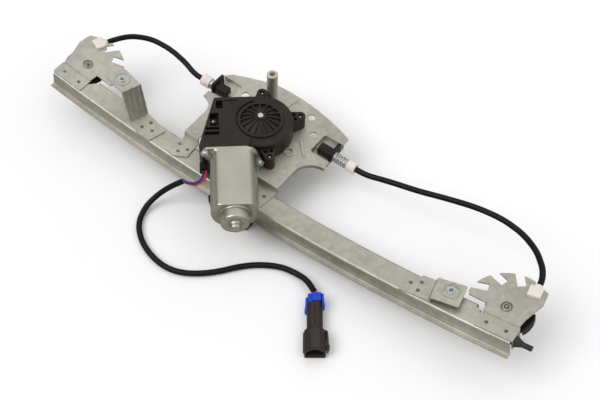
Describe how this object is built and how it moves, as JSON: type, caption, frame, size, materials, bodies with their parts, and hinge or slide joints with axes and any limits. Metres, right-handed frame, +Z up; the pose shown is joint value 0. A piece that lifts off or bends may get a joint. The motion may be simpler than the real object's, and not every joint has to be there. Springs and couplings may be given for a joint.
{
  "type": "window regulator",
  "caption": "Curved single-rail cable window regulator with a worm-gear motor on a pressed plate, two sheathed cables and a sliding glass carrier.",
  "frame": {"origin": "under the middle of the object without its loose harness, on the surface that it lies on with its glass pad", "axes": "+X along the rail towards the end with the rubber stop, +Y from the rail towards the gearbox, +Z up off the surface"},
  "size_m": [0.5829, 0.2359, 0.0892],
  "materials": {
    "zinc_steel": "galvanised sheet, matt warm grey",
    "bright_steel": "zinc plated",
    "cable_steel": "stranded",
    "motor_steel": "satin drawn steel",
    "black_plastic": "moulded",
    "housing_plastic": "glass filled, brownish black",
    "white_plastic": "natural nylon",
    "conduit_black": "smooth sheath",
    "black_rubber": "moulded",
    "sintered_bronze": "sintered",
    "ferrite": "dark ferrite",
    "lock_blue": "moulded",
    "wire_blue": "insulation",
    "wire_red": "insulation"
  },
  "bodies": {
    "base": {"guide_rail": "zinc_steel", "left_end_bracket": "zinc_steel", "right_end_bracket": "zinc_steel", "pulley_rivets": "bright_steel", "left_cable_guard": "black_plastic", "right_cable_guard": "black_plastic", "left_conduit_seat": "white_plastic", "right_conduit_seat": "white_plastic", "left_conduit": "conduit_black", "right_conduit": "conduit_black", "left_cable": "cable_steel", "right_cable": "cable_steel", "left_adjuster": "white_plastic", "right_adjuster": "white_plastic", "left_adjuster_spring": "bright_steel", "right_adjuster_spring": "bright_steel", "left_cable_clip": "black_plastic", "right_cable_clip": "black_plastic", "motor_plate": "zinc_steel", "standoff": "bright_steel", "left_mount_bracket": "zinc_steel", "right_mount_bracket": "zinc_steel", "left_weld_nut": "bright_steel", "right_weld_nut": "bright_steel", "gearbox_housing": "housing_plastic", "gearbox_base": "black_plastic", "gear_axle": "bright_steel", "gearbox_screws": "bright_steel", "drum_housing": "black_plastic", "magnets": "ferrite", "brush_holder": "black_plastic", "brushes": "ferrite", "motor_can": "motor_steel", "can_bearing": "bright_steel", "worm_bush": "sintered_bronze", "motor_screws": "bright_steel", "motor_socket": "black_plastic", "end_bumper": "black_rubber", "wire_blue": "wire_blue", "wire_red": "wire_red", "connector_wires": "wire_red", "harness_sheath": "conduit_black", "connector_lock": "lock_blue", "connector_body": "black_plastic", "connector_terminals": "sintered_bronze"},
    "carrier": {"carrier_shoe": "black_plastic", "carrier_plate": "zinc_steel", "glass_pad": "black_rubber", "carrier_bolts": "bright_steel", "cable_nipples": "bright_steel"},
    "drum": {"worm_wheel": "white_plastic", "drive_dampers": "black_rubber", "cable_drum": "black_plastic", "cable_wraps": "cable_steel"},
    "armature": {"armature_shaft": "bright_steel", "armature_core": "motor_steel", "commutator": "sintered_bronze"},
    "left_pulley": {"left_pulley": "black_plastic"},
    "right_pulley": {"right_pulley": "black_plastic"}
  },
  "joints": [
    {"name": "motor_spin", "type": "hinge", "parent": "base", "child": "armature", "pos_m": [-0.08621, 0.01071, 0.06013], "axis": [0.6425, -0.766, -0.0188], "range_deg": [-28407.1, 19945.7]},
    {"name": "drum_spin", "type": "hinge", "parent": "base", "child": "drum", "pos_m": [-0.06346, 0.0298, 0.05946], "axis": [0.0293, 0, 0.9996], "range_deg": [-600, 600]},
    {"name": "carrier_travel", "type": "hinge", "parent": "base", "child": "carrier", "pos_m": [-0.028, -0.033, 1.399], "axis": [0, -1, 0], "range_deg": [-7.03, 9.96]},
    {"name": "left_pulley_spin", "type": "hinge", "parent": "base", "child": "left_pulley", "pos_m": [-0.26758, -0.013, 0.05051], "axis": [0.1764, 0, 0.9843], "range_deg": [-780, 780]},
    {"name": "right_pulley_spin", "type": "hinge", "parent": "base", "child": "right_pulley", "pos_m": [0.25098, -0.013, 0.05811], "axis": [-0.2051, 0, 0.9787], "range_deg": [-780, 780]}
  ],
  "couplings": [
    {"joint": "drum_spin", "follows": "motor_spin", "ratio": -0.02},
    {"joint": "carrier_travel", "follows": "motor_spin", "ratio": -0.00034725},
    {"joint": "left_pulley_spin", "follows": "motor_spin", "ratio": -0.025761},
    {"joint": "right_pulley_spin", "follows": "motor_spin", "ratio": -0.025761}
  ]
}
